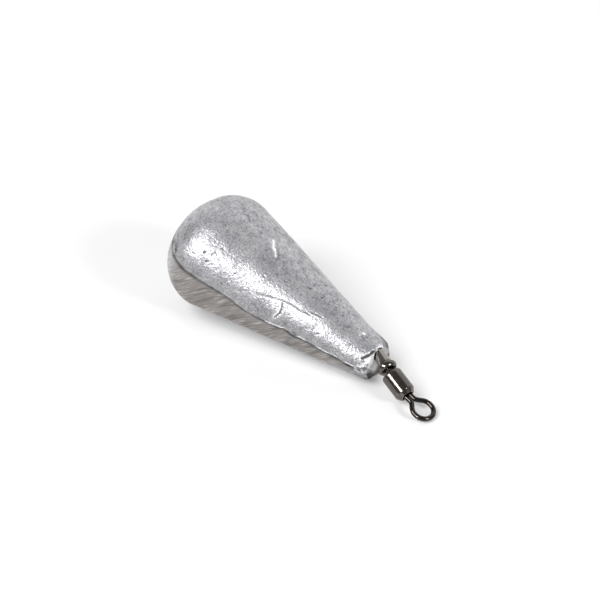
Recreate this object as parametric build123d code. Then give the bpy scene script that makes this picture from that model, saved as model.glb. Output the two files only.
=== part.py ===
from build123d import *
import math
import os

# Lead casting, measured along its own axis from the blunt end to the nose's upper edge
casting_length = 44.2
widest_radius = 11.5
crown_extra_radius = 2.0
nose_radius = 4.11
shoulder_radius = 7.65

# The nose is cut off aslant: past the casting's length where it crosses the axis, and leaning back at the top
nose_cut_reach = 0.83
nose_cut_angle = 17.4
nose_bevel = 0.3
nose_under_bevel = 0.9
nose_spare_length = 3.0

# The blunt end's crown is this much flatter than a ball of the widest radius
crown_radius = widest_radius + crown_extra_radius

# Each mould half is shallower than a half round by this much
half_shortfall = 0.7

# Depth of metal ground off with the flash along the parting line
crown_ground_depth = 0.25
side_ground_depth = 0.6
nose_ground_depth = 0.33

# Depth of the narrow flat rubbed into the soft lead where the casting lies
rest_flat_depth = 0.06

# Swivel neck: cone, bead, spindle and head
bead_radius = 1.8
bead_edge_radius = 1.45
bead_length = 1.36
cone_large_radius = 1.4
cone_small_radius = 0.7
cone_length = 4.1
spindle_radius = 0.55
neck_head_radius = 1.15
neck_head_thickness = 0.6
socket_depth = 2.2

# Where the middle of the bead stands, from the middle of the nose
bead_reach = 3.15
bead_offset = -1.0
bead_height = 1.85
neck_yaw_angle = -25.0
neck_dip_angle = 16.0

# Swivel barrel
barrel_radius = 1.9
barrel_length = 5.12
barrel_cavity_radius = 1.56
barrel_rim_thickness = 0.55
barrel_end_thickness = 0.75
barrel_rim_round = 0.6
barrel_chamfer_length = 0.75
barrel_chamfer_depth = 0.5
groove_width = 0.6
barrel_yaw_angle = -14.2
barrel_dip_angle = 21.0

# Wire eyes: the loop of the line eye and that of the anchor eye are alike
wire_radius = 0.46
leg_gap = 0.04
loop_radius = 1.93
loop_half_angle = 43.0
leg_bend_radius = 0.9
line_leg_length = 1.33
line_head_radius = 1.35
line_head_thickness = 0.5
eye_yaw_angle = -4.4
eye_dip_angle = 17.8
eye_roll_angle = -1.0

# Anchor eye inside the lead
anchor_shank_radius = 0.42
anchor_shank_reach = 0.9
anchor_leg_length = 0.6
anchor_yaw_angle = 4.0
anchor_dip_angle = 0.0

# Clearances and cuts
hole_clearance = 0.16
head_clearance = 0.35
cut_overrun = 1.0


def between(center, radius, start_angle, end_angle):
    """Three points of an arc: its start, its middle and its end."""
    angles = (start_angle, (start_angle + end_angle) / 2, end_angle)
    return [(center[0] + radius * math.cos(a), center[1] + radius * math.sin(a)) for a in angles]


def drop_arcs(crown_inset=0, side_inset=0, nose_inset=0):
    """Crown arc, shoulder arc and nose point of the casting's half outline, each set in by its inset."""
    radius = shoulder_radius - side_inset
    crown_center = (crown_radius, 0.0)
    reach = crown_radius - crown_inset - radius
    height = widest_radius - shoulder_radius
    shoulder_center = (crown_radius - math.sqrt(reach**2 - height**2), height)
    nose = (casting_length, nose_radius - nose_inset)

    run = shoulder_center[0] - nose[0]
    rise = shoulder_center[1] - nose[1]
    span = math.hypot(run, rise)
    slope = math.atan2(rise, run) - math.asin(radius / span)
    reach_to_tangent = math.sqrt(span**2 - radius**2)
    tangent = (nose[0] + reach_to_tangent * math.cos(slope), nose[1] + reach_to_tangent * math.sin(slope))

    join_angle = math.atan2(shoulder_center[1], shoulder_center[0] - crown_center[0])
    tangent_angle = math.atan2(tangent[1] - shoulder_center[1], tangent[0] - shoulder_center[0])
    crown = between(crown_center, crown_radius - crown_inset, math.pi, join_angle)
    shoulder = between(shoulder_center, radius, join_angle, tangent_angle)
    return crown, shoulder, nose


def taper_angle():
    """Angle in degrees between the casting's axis and its straight taper."""
    crown, shoulder, nose = drop_arcs()
    return math.degrees(math.atan2(shoulder[2][1] - nose[1], nose[0] - shoulder[2][0]))


def half_outline(arcs, tail):
    """Face between the casting's axis and its half outline, closed by the points of the tail."""
    crown, shoulder, nose = arcs
    edges = Curve() + [ThreePointArc(*crown), ThreePointArc(*shoulder)]
    edges += Polyline(shoulder[2], *tail, crown[0])
    return make_face(edges)


def spare_point(arcs):
    """Point of the straight taper in the spare length that the nose cut takes off."""
    crown, shoulder, nose = arcs
    slope = (shoulder[2][1] - nose[1]) / (nose[0] - shoulder[2][0])
    return nose[0] + nose_spare_length, nose[1] - nose_spare_length * slope


def mould_half():
    """Upper half of the casting: a turned drop lowered by the shortfall and cut at the parting plane."""
    arcs = drop_arcs()
    tip = spare_point(arcs)
    turned = revolve(half_outline(arcs, [tip, (tip[0], 0)]), axis=Axis.X)
    return split(Pos(0, 0, -half_shortfall) * turned, bisect_by=Plane.XY, keep=Keep.TOP)


def ground_outline():
    """Upright block whose sides are the flats left where the flash was ground off."""
    arcs = drop_arcs(crown_ground_depth, side_ground_depth, nose_ground_depth)
    tip = spare_point(arcs)
    past_tip = tip[0] + cut_overrun
    half = half_outline(arcs, [tip, (past_tip, tip[1]), (past_tip, 0)])
    return extrude(half + mirror(half, about=Plane.XZ), amount=widest_radius + cut_overrun, both=True)


def nose_edges(drop):
    """Edges round the face of the nose."""
    return drop.faces().sort_by(Axis.X)[-1].edges()


def casting():
    """The lead drop on its own axis, with its parting plane level."""
    upper = mould_half()
    drop = (upper + mirror(upper, about=Plane.XY)) & ground_outline()
    lean = math.radians(nose_cut_angle)
    cut = Plane(
        origin=(casting_length + nose_cut_reach, 0, 0),
        x_dir=(0, 1, 0),
        z_dir=(math.cos(lean), 0, math.sin(lean)),
    )
    drop = split(drop, bisect_by=cut, keep=Keep.BOTTOM)
    under_edge = nose_edges(drop).sort_by(Axis.Z)[0]
    drop = chamfer(under_edge, nose_under_bevel)
    upper_edge = nose_edges(drop).sort_by(Axis.Z)[-1]
    return chamfer(upper_edge, nose_bevel)


def heading(point, yaw, dip, roll=0):
    """Place at a point whose X axis is turned by yaw about Z, then dipped, then rolled."""
    return Pos(*point) * Rot(0, 0, yaw) * Rot(0, dip, 0) * Rot(roll, 0, 0)


def shaft(start, end, radius):
    """Round bar along X."""
    outline = Polyline((start, 0), (start, radius), (end, radius), (end, 0), close=True)
    return revolve(make_face(outline), axis=Axis.X)


def leg_offset():
    """Distance of each leg of a wire eye from the eye's axis."""
    return wire_radius + leg_gap / 2


def loop_middle(corner_x):
    """Distance along the eye's axis to the middle of the loop whose legs spread at the corner."""
    half_angle = math.radians(loop_half_angle)
    spread = (loop_radius * math.cos(half_angle) - leg_offset()) / math.tan(half_angle)
    return corner_x + spread + loop_radius * math.sin(half_angle)


def wire_loop(leg_start, corner_x):
    """Wire eye in the XY plane: two legs side by side that spread at the corner and join in a round bow."""
    half_angle = math.radians(loop_half_angle)
    bend_run = leg_bend_radius * math.tan(half_angle / 2)
    bend_center = (corner_x - bend_run, leg_offset() + leg_bend_radius)
    bend = between(bend_center, leg_bend_radius, -math.pi / 2, half_angle - math.pi / 2)
    bow_center = (loop_middle(corner_x), 0)
    bow = between(bow_center, loop_radius, math.pi / 2 + half_angle, 0)
    path = Wire(
        [
            Line((leg_start, leg_offset()), bend[0]),
            ThreePointArc(*bend),
            Line(bend[2], bow[0]),
            ThreePointArc(*bow),
        ]
    )
    section = Plane(origin=(leg_start, leg_offset(), 0), z_dir=(1, 0, 0)) * Circle(wire_radius)
    strand = sweep(section, path=path)
    return strand + mirror(strand, about=Plane.XZ)


def neck():
    """Neck on its own axis, with the middle of the bead at the origin."""
    half = bead_length / 2
    head_start = half + groove_width + barrel_rim_thickness + head_clearance
    head_end = head_start + neck_head_thickness
    cone_end = -half - cone_length
    outline = Curve() + Polyline(
        (half, bead_edge_radius),
        (half, spindle_radius),
        (head_start, spindle_radius),
        (head_start, neck_head_radius),
        (head_end, neck_head_radius),
        (head_end, 0),
        (cone_end, 0),
        (cone_end, cone_small_radius),
        (-half, cone_large_radius),
        (-half, bead_edge_radius),
    )
    outline += ThreePointArc((-half, bead_edge_radius), (0, bead_radius), (half, bead_edge_radius))
    solid = revolve(make_face(outline), axis=Axis.X)
    return solid - shaft(cone_end - cut_overrun, cone_end + socket_depth, anchor_shank_radius)


def barrel():
    """Barrel on its own axis, with the middle of the rim's hole at the origin."""
    rim_face = -barrel_rim_thickness / 2
    rim_back = barrel_rim_thickness / 2
    end_face = rim_face + barrel_length
    end_back = end_face - barrel_end_thickness
    rim_hole = spindle_radius + hole_clearance
    end_hole = leg_offset() + wire_radius + hole_clearance
    corner = (rim_face + barrel_rim_round, barrel_radius - barrel_rim_round)
    round_over = between(corner, barrel_rim_round, math.pi, math.pi / 2)
    outline = Curve() + ThreePointArc(*round_over)
    outline += Polyline(
        round_over[2],
        (end_face - barrel_chamfer_length, barrel_radius),
        (end_face, barrel_radius - barrel_chamfer_depth),
        (end_face, end_hole),
        (end_back, end_hole),
        (end_back, barrel_cavity_radius),
        (rim_back, barrel_cavity_radius),
        (rim_back, rim_hole),
        (rim_face, rim_hole),
        round_over[0],
    )
    return revolve(make_face(outline), axis=Axis.X)


def line_corner():
    """Distance along the line eye's axis to the corner where its legs spread."""
    return barrel_end_thickness / 2 + line_leg_length


def line_eye():
    """Line eye on its own axis, with the middle of the barrel's end hole at the origin."""
    head_face = -barrel_end_thickness / 2 - head_clearance
    head = shaft(head_face - line_head_thickness, head_face, line_head_radius)
    return head + wire_loop(head_face - line_head_thickness / 2, line_corner())


def anchor_eye(neck_place):
    """Anchor eye: legs pressed into a round shank in the neck's socket, and a loop turned into the lead."""
    cone_end = -bead_length / 2 - cone_length
    bend = cone_end - anchor_shank_reach
    shank = neck_place * shaft(bend, cone_end + socket_depth, anchor_shank_radius)
    loop_place = heading((neck_place * Pos(bend, 0, 0)).position, anchor_yaw_angle + 180, -anchor_dip_angle)
    knot = Sphere(leg_offset() + wire_radius)
    return shank + loop_place * (knot + wire_loop(0, anchor_leg_length))


# The casting lies on its straight taper, so its axis dips towards the nose by the taper's angle
tilt = math.radians(taper_angle())
lift = casting_length * math.sin(tilt) + (nose_radius - half_shortfall) * math.cos(tilt)
lie_down = Pos(0, 0, lift) * Rot(0, math.degrees(tilt), 0)

bead_middle = (lie_down * Pos(casting_length + bead_reach, bead_offset, bead_height)).position
neck_place = heading(bead_middle, neck_yaw_angle, neck_dip_angle)

rim_middle_x = bead_length / 2 + groove_width + barrel_rim_thickness / 2
rim_middle = (neck_place * Pos(rim_middle_x, 0, 0)).position
barrel_place = heading(rim_middle, barrel_yaw_angle, barrel_dip_angle)

end_middle_x = barrel_length - barrel_rim_thickness / 2 - barrel_end_thickness / 2
end_middle = (barrel_place * Pos(end_middle_x, 0, 0)).position
eye_place = heading(end_middle, eye_yaw_angle, eye_dip_angle, eye_roll_angle)

pieces = {
    "anchor_eye": anchor_eye(neck_place),
    "swivel_neck": neck_place * neck(),
    "swivel_barrel": barrel_place * barrel(),
    "line_eye": eye_place * line_eye(),
}
rubbed = split(lie_down * casting(), bisect_by=Plane.XY.offset(rest_flat_depth), keep=Keep.TOP)
pieces["lead_body"] = rubbed - pieces["anchor_eye"] - pieces["swivel_neck"]

# The origin is the middle of the footprint, on the table
boxes = [piece.bounding_box() for piece in pieces.values()]
low = [min(getattr(box.min, axis) for box in boxes) for axis in "XYZ"]
high = [max(getattr(box.max, axis) for box in boxes) for axis in "XYZ"]
to_origin = Pos(-(low[0] + high[0]) / 2, -(low[1] + high[1]) / 2, -low[2])

os.makedirs("parts", exist_ok=True)
for name, piece in pieces.items():
    export_step(to_origin * piece, f"parts/{name}.step")

# Joint axes, and the middle and normal of the line eye's loop, in the part's frame
barrel_hinge = to_origin * barrel_place
eye_hinge = to_origin * eye_place
loop_place = eye_hinge * Pos(loop_middle(line_corner()), 0, 0)
print("barrel hinge", tuple(barrel_hinge.position), tuple(barrel_hinge.x_axis.direction))
print("eye hinge", tuple(eye_hinge.position), tuple(eye_hinge.x_axis.direction))
print("loop", tuple(loop_place.position), tuple(loop_place.z_axis.direction))
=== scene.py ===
import math
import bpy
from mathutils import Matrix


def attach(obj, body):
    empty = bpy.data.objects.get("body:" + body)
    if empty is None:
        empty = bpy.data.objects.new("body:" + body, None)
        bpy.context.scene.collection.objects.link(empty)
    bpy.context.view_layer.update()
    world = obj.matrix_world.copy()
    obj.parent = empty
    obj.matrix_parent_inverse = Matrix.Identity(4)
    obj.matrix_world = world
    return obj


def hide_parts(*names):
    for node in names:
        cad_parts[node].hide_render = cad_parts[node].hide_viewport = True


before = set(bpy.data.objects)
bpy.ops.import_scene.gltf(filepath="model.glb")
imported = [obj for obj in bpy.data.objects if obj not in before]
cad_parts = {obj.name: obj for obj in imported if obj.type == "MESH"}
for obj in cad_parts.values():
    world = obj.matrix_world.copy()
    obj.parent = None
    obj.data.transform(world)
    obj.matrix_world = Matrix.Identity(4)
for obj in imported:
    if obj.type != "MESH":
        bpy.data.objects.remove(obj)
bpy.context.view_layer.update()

from types import SimpleNamespace

import bmesh
import bpy
import numpy as np
from bpy.props import FloatProperty, FloatVectorProperty, IntProperty, PointerProperty
from mathutils import Matrix, Vector

bl_info = {
    "name": "Cast lead sinker with barrel swivel",
    "version": (1, 0, 0),
    "blender": (4, 5, 0),
    "location": "View3D > Sidebar > Sinker",
    "description": "Builds a drop-shaped cast lead sinker with its barrel swivel",
    "category": "Object",
}

MM = 0.001


def length(name, description, millimetres):
    """A length in metres whose default is given in millimetres."""
    return FloatProperty(
        name=name, description=description, default=millimetres * MM, unit="LENGTH", precision=5
    )


def angle(name, description, degrees):
    """An angle whose default is given in degrees."""
    return FloatProperty(
        name=name, description=description, default=math.radians(degrees), subtype="ANGLE"
    )


def colour(name, description, rgb):
    """A linear colour."""
    return FloatVectorProperty(
        name=name, description=description, default=rgb, subtype="COLOR", size=3, min=0.0, max=1.0
    )


def share(name, description, value):
    """A plain number from 0 to 1."""
    return FloatProperty(name=name, description=description, default=value, min=0.0, max=1.0)


def power(name, description, watts):
    """The power of a lamp."""
    return FloatProperty(name=name, description=description, default=watts, subtype="POWER")


class CastingSettings(bpy.types.PropertyGroup):
    """Sizes and finish of the lead drop."""

    casting_length: length("Casting length", "From the blunt end to the nose, along the axis", 44.2)
    widest_radius: length("Widest radius", "Radius of the drop at its widest", 11.5)
    crown_radius: length("Crown radius", "Radius of the ball that rounds the blunt end", 13.5)
    shoulder_radius: length("Shoulder radius", "Radius between the crown and the taper", 7.65)
    nose_radius: length("Nose radius", "Radius of the taper where it reaches the nose", 4.11)
    nose_bevel: length("Nose bevel", "Size of the bevel round the nose", 0.3)
    nose_cut_reach: length("Nose cut reach", "Where the nose cut crosses the axis, past the length", 0.83)
    nose_cut_angle: angle("Nose cut angle", "How far the nose cut leans back at the top", 17.4)
    nose_under_round: length("Nose under round", "How far the nose is rounded back underneath", 1.3)
    rest_flat: length("Rest flat", "Depth of the flat rubbed where the casting lies", 0.06)
    half_shortfall: length("Half shortfall", "How much each mould half is short of half round", 0.7)
    crown_ground: length("Crown ground depth", "Metal ground off the parting line at the crown", 0.25)
    side_ground: length("Side ground depth", "Metal ground off the parting line at the sides", 0.6)
    nose_ground: length("Nose ground depth", "Metal ground off the parting line at the nose", 0.33)
    origin_back: length("Origin shift", "How far the blunt end lies behind the part's origin", 29.0178)
    bead_reach: length("Bead reach", "Middle of the swivel's bead, ahead of the nose", 3.15)
    bead_offset: length("Bead offset", "Middle of the bead, sideways of the casting's axis", -1.0)
    bead_height: length("Bead height", "Middle of the bead, above the casting's axis", 1.85)
    unevenness: length("Unevenness", "Height of the slow waves of the cast surface", 0.07)
    grain_depth: length("Grain depth", "Height of the fine grain of the cast surface", 0.006)
    dull_lead: colour("Dull lead", "Colour of the paler clouds in the lead", (0.57, 0.57, 0.59))
    dark_lead: colour("Dark lead", "Colour of the darker clouds in the lead", (0.165, 0.165, 0.18))
    # Colour of cut or rubbed lead, and of the painted highlights
    fresh_lead: colour("Fresh lead", "Colour of cut or rubbed lead", (0.96, 0.96, 0.97))
    # Colour of the soil and of the painted shade in pits, creases, gaps and under the nose
    pit_soil: colour("Pit soil", "Colour inside pits and creases", (0.035, 0.033, 0.034))
    ground_lead: colour("Ground lead", "Main colour of the ground strip", (0.3, 0.282, 0.27))
    lead_roughness: share("Lead roughness", "Mean roughness of the cast surface", 0.34)


class SwivelSettings(bpy.types.PropertyGroup):
    """Sizes and finish of the swivel."""

    bead_radius: length("Bead radius", "Radius of the bead at its middle", 1.8)
    bead_edge_radius: length("Bead edge radius", "Radius of the bead at its two ends", 1.45)
    bead_length: length("Bead length", "Length of the bead", 1.36)
    cone_large_radius: length("Cone large radius", "Radius of the cone beside the bead", 1.4)
    cone_small_radius: length("Cone small radius", "Radius of the cone inside the lead", 0.7)
    cone_length: length("Cone length", "Length of the cone", 4.1)
    spindle_radius: length("Spindle radius", "Radius of the spindle in the barrel's rim", 0.55)
    neck_head_radius: length("Neck head radius", "Radius of the head inside the barrel", 1.15)
    neck_head_thickness: length("Neck head thickness", "Thickness of that head", 0.6)
    neck_yaw: angle("Neck yaw", "Turn of the neck's axis about the upright", -25.0)
    neck_dip: angle("Neck dip", "Dip of the neck's axis", 16.0)
    groove_width: length("Groove width", "Gap between the bead and the barrel", 0.6)
    barrel_radius: length("Barrel radius", "Outer radius of the barrel", 1.9)
    barrel_length: length("Barrel length", "Length of the barrel", 5.12)
    barrel_cavity_radius: length("Barrel cavity radius", "Inner radius of the barrel", 1.56)
    barrel_rim: length("Barrel rim thickness", "Thickness of the rim that holds the neck", 0.55)
    barrel_end: length("Barrel end thickness", "Thickness of the end that holds the eye", 0.75)
    barrel_rim_round: length("Barrel rim round", "Radius of the rim's outer edge", 0.6)
    barrel_chamfer_length: length("Barrel chamfer length", "Length of the end's chamfer", 0.75)
    barrel_chamfer_depth: length("Barrel chamfer depth", "Depth of the end's chamfer", 0.5)
    hole_clearance: length("Hole clearance", "Gap between a hole and what turns in it", 0.16)
    head_clearance: length("Head clearance", "Gap between a head and its wall", 0.35)
    barrel_yaw: angle("Barrel yaw", "Turn of the barrel's axis about the upright", -14.2)
    barrel_dip: angle("Barrel dip", "Dip of the barrel's axis", 21.0)
    wire_radius: length("Wire radius", "Radius of the eye's wire", 0.46)
    leg_gap: length("Leg gap", "Gap between the two legs of the eye", 0.04)
    loop_radius: length("Loop radius", "Radius of the eye's bow, to the middle of the wire", 1.93)
    loop_half_angle: angle("Loop half angle", "Spread of each leg from the eye's axis", 43.0)
    leg_bend_radius: length("Leg bend radius", "Radius of the bend where a leg spreads", 0.9)
    leg_length: length("Leg length", "Length of the legs outside the barrel", 1.33)
    line_head_radius: length("Eye head radius", "Radius of the head inside the barrel", 1.35)
    line_head_thickness: length("Eye head thickness", "Thickness of that head", 0.5)
    eye_yaw: angle("Eye yaw", "Turn of the eye's axis about the upright", -4.4)
    eye_dip: angle("Eye dip", "Dip of the eye's axis", 17.8)
    eye_roll: angle("Eye roll", "Turn of the loop about its own axis", -1.0)
    nickel: colour("Black nickel", "Colour of the plating", (0.13, 0.117, 0.106))
    # Also the colour of the painted sheen on the neck's cone
    worn_nickel_and_sheen: colour("Worn nickel", "Colour of the plating where it is rubbed", (0.3, 0.275, 0.25))
    wire_nickel: colour("Wire nickel", "Colour of the eye's plating", (0.055, 0.049, 0.045))
    nickel_roughness: share("Nickel roughness", "Mean roughness of the plating", 0.13)


class StageSettings(bpy.types.PropertyGroup):
    """Floor, light and camera."""

    floor_size: length("Floor size", "Side of the floor", 1400.0)
    floor_colour: colour("Floor colour", "Colour of the floor", (0.66, 0.66, 0.66))
    floor_glow: share("Floor glow", "White added where the camera or a reflection sees the floor", 0.21)
    key_energy: power("Key energy", "Power of the long lamp that shines on the metal", 19.0)
    floor_energy: power("Floor energy", "Power of the wide lamp that lights the floor", 14.0)
    side_energy: power("Side energy", "Power of the small lamp right of the camera", 4.8)
    camera_lens: FloatProperty(
        name="Lens", description="Focal length in millimetres", default=132.0, subtype="DISTANCE_CAMERA"
    )


class SinkerSettings(bpy.types.PropertyGroup):
    """All the settings of the sinker."""

    casting: PointerProperty(type=CastingSettings)
    swivel: PointerProperty(type=SwivelSettings)
    stage: PointerProperty(type=StageSettings)
    around: IntProperty(name="Steps around", description="Faces round a turned piece", default=96, min=12)
    along: IntProperty(name="Steps along", description="Faces along a turned outline", default=300, min=20)


def millimetres(group):
    """The lengths of a group of settings in millimetres, and its other values as they are."""
    values = {}
    for name, prop in group.bl_rna.properties.items():
        if prop.is_runtime:
            value = getattr(group, name)
            values[name] = value / MM if prop.unit == "LENGTH" else value
    return SimpleNamespace(**values)


# Shape of the casting, in millimetres along its own axis

# Height of the near strip's upper edge above the parting line, at places along the axis
NEAR_EDGE = [
    (0.25, 1.89), (1.0, 2.5), (2.5, 3.1), (4.6, 3.3), (7.06, 3.4), (8.45, 3.25), (9.8, 3.15), (11.2, 2.95),
    (12.6, 2.76), (14.4, 2.58), (16.2, 2.43), (18.3, 2.05), (20.0, 1.55), (21.4, 1.25), (23.1, 1.15),
    (25.3, 1.1), (27.4, 1.2), (29.0, 1.5), (29.8, 1.25), (30.7, 1.0), (32.1, 1.15), (34.5, 1.12),
    (36.4, 0.85), (38.4, 0.92), (40.6, 0.66), (42.4, 0.68), (44.2, 0.6),
]

# Angle below the parting plane at which the near strip ends, in degrees, at places along the axis
NEAR_FOOT = [
    (0.0, 20.0), (4.0, 26.0), (9.0, 32.0), (30.0, 34.0), (36.0, 32.0), (38.5, 27.0),
    (40.0, 20.0), (41.5, 13.0), (42.4, 9.0), (44.2, 7.0),
]

# Place along the axis where the near strip runs out
STRIP_END = 42.4

# Pits: place along the axis, angle round it from the far side, radius, depth
PITS = [
    (10.32, 136.3, 0.24, 0.2), (11.49, 142.6, 0.19, 0.16), (28.47, 94.4, 0.26, 0.22),
    (29.63, 67.3, 0.22, 0.18), (31.04, 91.8, 0.22, 0.18), (28.11, 110.0, 0.18, 0.14),
    (35.83, 89.2, 0.19, 0.16), (12.0, 131.0, 0.15, 0.1), (30.0, 103.0, 0.16, 0.12),
]

# Creases left where two streams of lead met: points along each, half width, depth, lip
CREASES = [
    ([(22.06, 143.4), (23.49, 138.5), (26.18, 131.5), (27.85, 129.0), (29.72, 128.4), (31.6, 125.6)],
     0.11, 0.1, 0.03),
    ([(31.5, 122.0), (32.4, 119.6), (33.6, 117.8)], 0.13, 0.14, 0.04),
    ([(26.47, 134.6), (26.87, 140.3), (26.94, 147.7), (26.57, 155.5)], 0.12, 0.2, 0.09),
]

# Gouges that bare fresh lead: points along each, half width, depth
GOUGES = [
    ([(17.75, 80.2), (18.84, 88.0), (19.3, 90.0)], 0.22, 0.1),
    ([(19.2, 88.5), (20.31, 94.5)], 0.16, 0.1),
    ([(40.48, 87.4), (40.7, 86.0)], 0.2, 0.1),
    ([(40.21, 95.3), (40.3, 97.0)], 0.12, 0.08),
]

# Stretches of the near strip's upper edge that carry burrs, along the axis
BURR_RUNS = [(25.4, 29.4), (31.4, 33.2), (35.2, 39.4), (40.6, 43.2)]

# Upper edge of the step above the nose cut, on whose face shade is painted: place along the axis, angle round
# it
NOSE_STEP = [(42.89, 134.5), (43.51, 116.6), (43.69, 104.5), (43.9, 97.0)]

# Side of the neck on which the lead laps over it
LIP_SIDE = (0.223, 0.305, 0.926)

# Side of the neck on which the hole in the lead stands open
GAP_SIDE = (-0.396, -0.787, -0.4725)

# Corners of the fresh face on the nose cut, painted bright as a highlight, sideways and upwards from the axis
FRESH_LIT_FACE = [
    (-1.5, 3.0), (-0.5, 2.5), (0.3, 2.0), (0.6, 0.0), (-0.4, 0.0), (-0.95, -0.75),
    (-2.87, 1.0), (-3.4, 1.9), (-2.6, 2.6),
]

# Grinding: slant of the scores, least height of a strip's edge, waviness of the edges by their seeds
GRINDING_ANGLE = math.radians(48.0)
LEAST_EDGE = 0.35
NEAR_TOP_WANDER = (11, 0.035)
NEAR_LOW_WANDER = (21, 0.08)
FAR_TOP_WANDER = (31, 0.12)
FAR_LOW_WANDER = (41, 0.12)
WANDER_START = 3.0

# Near strip at the blunt end: run over which its foot settles, and where it is rounded out to the drop
FOOT_SETTLE = 2.5
ROUNDED_END = 13.0
ROUNDED_RUN = 6.0

# Nose: run that leans back, and how its underside is rounded from below the axis and towards the near side
LEAN_RUN = 5.0
UNDER_START = 1.4
UNDER_RUN = 1.8
UNDER_BEND = 1.5
UNDER_FAR_SHARE = 0.45
UNDER_NEAR_SHARE = 0.55
UNDER_SIDE = 1.0
UNDER_SIDE_RUN = 2.5
CUT_TOLERANCE = 1e-3

# Roughness of the skin: cell size, weight and seed of each layer
WAVES = [(5.0, 1.0, 1), (2.3, 0.5, 2)]
GRAIN = [(0.55, 1.0, 3), (0.3, 0.7, 4)]
STAINS = [(1.1, 1.0, 10), (0.5, 0.8, 12)]
STRIP_CALM = 0.25

# Scattered pits, and the depth from which the shade painted in a pit is full
PIT_SEED = 7
PIT_COUNT = 180
PIT_RADII = (0.1, 0.22)
PIT_DEPTHS = (0.03, 0.1)
PIT_REACH = 3.0
FULL_SHADE_PIT_DEPTH = 0.16
PIT_FREE_NOSE = 1.0

# Creases and gouges: widths as shares of the half width; the painted shade in a crease by its depth, and the
# painted highlight beside it by its lip
CREASE_LIP_SHARE = 3.0
CREASE_SHADE_SHARE = 0.85
CREASE_SHADE = 0.85
CREASE_SHADE_BY_DEPTH = 4.0
CREASE_HIGHLIGHT_BY_LIP = 10.0
CREASE_HIGHLIGHT_SHARES = (2.2, 1.3)
GOUGE_BURR_SHARE = 1.5
GOUGE_SINK_SHARE = 1.3

# Near strip's upper edge: burrs with their torn lead painted as glints, the line of painted shade below it
# and the band of painted shade above it
EDGE_PATCH_CELL = 1.3
BURR_FADE = 0.4
EDGE_RISE = 0.02
BURR_RISE = 0.08
BURR_WIDTH = 0.13
TORN_GLINT_WIDTH = 0.16
EDGE_SHADE_PLACE = 0.25
EDGE_SHADE_WIDTH = 0.42
SHADE_BAND_WIDTH = 2.6

# Step above the nose cut: angles between which it lies, the angle from which its edge gets a painted
# highlight, depth, width of its band of painted shade, and where the fresh lead past it, painted bright,
# starts
STEP_TURNS = (96.0, 138.0)
STEP_LIT_TURN = 108.0
STEP_DEPTH = 0.12
STEP_SHADE_END = 0.8
STEP_BRIGHT_START = 0.5

# Crumbled lead beside the step, the fin on the far side with its seam, the painted shade on the underside
CRUMB_CELL = 0.42
CRUMB_START = 42.7
CRUMB_TURN = 136.0
CRUMB_HEIGHT = 0.1
FIN_START = 39.8
FIN_HEIGHT = 0.3
FIN_TURN = 41.0
FIN_SPREAD = 11.0
SEAM_START = 41.6
SEAM_TURN = 46.0
SEAM_SPREAD = 3.5
UNDERSIDE_SHADE_START = 42.0
UNDERSIDE_SHADE_TOP = -0.5
DEEP_SHADE = 0.92

# Blunt end: stains above the strip, and the strip's rubbed end
STAIN_END = 8.5
STAIN_HEIGHTS = (2.7, 5.6)
RUBBED_END = 7.0
RUBBED_TONE = 0.6

# Hole round the neck and the lip over it, measured from the neck's axis
HOLE_RADIUS = 1.0
HOLE_GAP = 0.26
HOLE_DEPTH = 0.9
HOLE_BACK = 0.7
LIP_RADIUS = 1.16
LIP_WIDTH = 0.17
LIP_HEIGHT = 0.5
LIP_SHADE_RADIUS = 1.55
LIP_SHADE_WIDTH = 0.14

# Points of the casting's mesh: along it, round its upper half, across a strip, round its lower half, over
# an end; and the angle from which an edge is sharp
STATIONS = 285
UPPER_STEPS = 190
STRIP_STEPS = 22
LOWER_STEPS = 60
CAP_RINGS = 40
SHARP_ANGLE = math.radians(48.0)

# Camera and studio, in the part's frame
CAMERA_AZIMUTH = 38.19
CAMERA_PLACE = (0.179155, -0.23578, 0.26431)
CAMERA_AIM = (-0.006308, 0.0, 0.012586)
CAMERA_SHIFT = (0.02842, -0.04242)
WALL_SIDE = (-0.31, 0.95, 0.0)
LAMP_AIM = (0.0, 0.0, 0.008)
FLOOR_DROP = 0.00002


def half_outline(c, crown_inset=0.0, side_inset=0.0, nose_inset=0.0):
    """Crown arc, shoulder arc and straight taper of the drop's half outline, set in by the insets."""
    radius = c.shoulder_radius - side_inset
    reach = c.crown_radius - crown_inset - radius
    height = c.widest_radius - c.shoulder_radius
    middle = (c.crown_radius - math.sqrt(reach**2 - height**2), height)
    nose = (c.casting_length, c.nose_radius - nose_inset)
    run, rise = middle[0] - nose[0], middle[1] - nose[1]
    span = math.hypot(run, rise)
    slope = math.atan2(rise, run) - math.asin(radius / span)
    reach_to_tangent = math.sqrt(span**2 - radius**2)
    tangent = (
        nose[0] + reach_to_tangent * math.cos(slope),
        nose[1] + reach_to_tangent * math.sin(slope),
    )
    join = math.atan2(middle[1], middle[0] - c.crown_radius)
    turn = math.atan2(tangent[1] - middle[1], tangent[0] - middle[0])
    return SimpleNamespace(
        crown=c.crown_radius - crown_inset, middle=middle, radius=radius, nose=nose,
        tangent=tangent, join=join, turn=turn,
    )


def outline_points(c, o, count):
    """Points of a half outline at even steps along it, from the crown to the nose."""
    fine = 2000
    a = np.linspace(math.pi, o.join, fine)
    b = np.linspace(o.join, o.turn, fine)
    t = np.linspace(0.0, 1.0, fine)
    x = np.concatenate([
        c.crown_radius + o.crown * np.cos(a),
        o.middle[0] + o.radius * np.cos(b),
        o.tangent[0] + (o.nose[0] - o.tangent[0]) * t,
    ])
    y = np.concatenate([
        o.crown * np.sin(a),
        o.middle[1] + o.radius * np.sin(b),
        o.tangent[1] + (o.nose[1] - o.tangent[1]) * t,
    ])
    run = np.concatenate([[0.0], np.cumsum(np.hypot(np.diff(x), np.diff(y)))])
    even = np.linspace(0.0, run[-1], count)
    return np.interp(even, run, x), np.interp(even, run, y), even


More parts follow.
